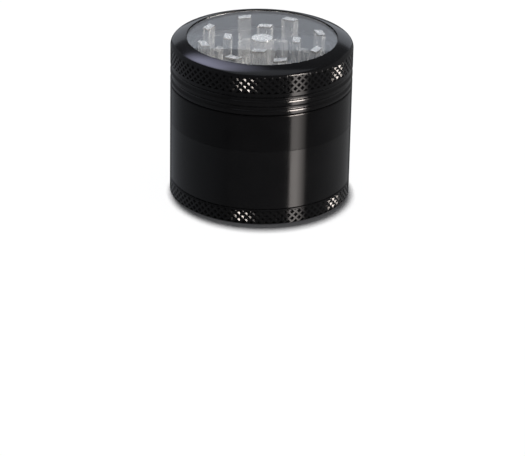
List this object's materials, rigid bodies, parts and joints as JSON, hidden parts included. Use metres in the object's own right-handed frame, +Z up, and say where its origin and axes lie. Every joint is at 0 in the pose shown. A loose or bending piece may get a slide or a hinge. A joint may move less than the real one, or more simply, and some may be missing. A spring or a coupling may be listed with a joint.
{
  "type": "herb grinder",
  "caption": "Round black aluminium herb grinder with screw-together chambers, a sieve, knurled rings and a clear window lid with hanging clear teeth.",
  "frame": {"origin": "centre of the flat underside of the tray", "axes": "+Z up along the turning axis, +X to the right, +Y to the back"},
  "size_m": [0.05, 0.05, 0.045],
  "materials": {
    "anodised_black": "satin black anodised, fine turning marks",
    "ring_aluminium": "satin black anodised",
    "woven_steel": "fine woven wire",
    "clear_acrylic": "polished clear moulding",
    "slip_nylon": "black nylon"
  },
  "bodies": {
    "tray_stage": {"tray": "anodised_black"},
    "sieve": {"screen_mesh": "woven_steel", "screen_ring": "ring_aluminium"},
    "collection_stage": {"collection_chamber": "anodised_black"},
    "pivot_hub": {"plate_hub": "clear_acrylic"},
    "grinding_stage": {"grinding_chamber": "anodised_black", "tooth_plate": "clear_acrylic", "plate_teeth": "clear_acrylic", "slip_ring": "slip_nylon"},
    "centre_post": {"lid_post": "clear_acrylic"},
    "lid": {"lid_ring": "anodised_black", "lid_window": "clear_acrylic", "lid_outer_teeth": "clear_acrylic", "lid_inner_teeth": "clear_acrylic"}
  },
  "joints": [
    {"name": "collection_rise", "type": "slide", "parent": "tray_stage", "child": "sieve", "axis": [0, 0, 1], "range_m": [0, 0.0045]},
    {"name": "collection_turn", "type": "hinge", "parent": "sieve", "child": "collection_stage", "pos_m": [0, 0, 0.0044], "axis": [0, 0, 1], "range_deg": [0, 1080]},
    {"name": "grinding_rise", "type": "slide", "parent": "collection_stage", "child": "pivot_hub", "axis": [0, 0, 1], "range_m": [0, 0.0045]},
    {"name": "grinding_turn", "type": "hinge", "parent": "pivot_hub", "child": "grinding_stage", "pos_m": [0, 0, 0.02155], "axis": [0, 0, 1], "range_deg": [0, 1080]},
    {"name": "lid_lift", "type": "slide", "parent": "grinding_stage", "child": "centre_post", "axis": [0, 0, 1], "range_m": [0, 0.025]},
    {"name": "lid_spin", "type": "hinge", "parent": "centre_post", "child": "lid", "pos_m": [0, 0, 0.0385], "axis": [0, 0, 1], "continuous": true}
  ],
  "couplings": [
    {"joint": "collection_rise", "follows": "collection_turn", "m_per_rad": 0.00023873},
    {"joint": "grinding_rise", "follows": "grinding_turn", "m_per_rad": 0.00023873}
  ]
}
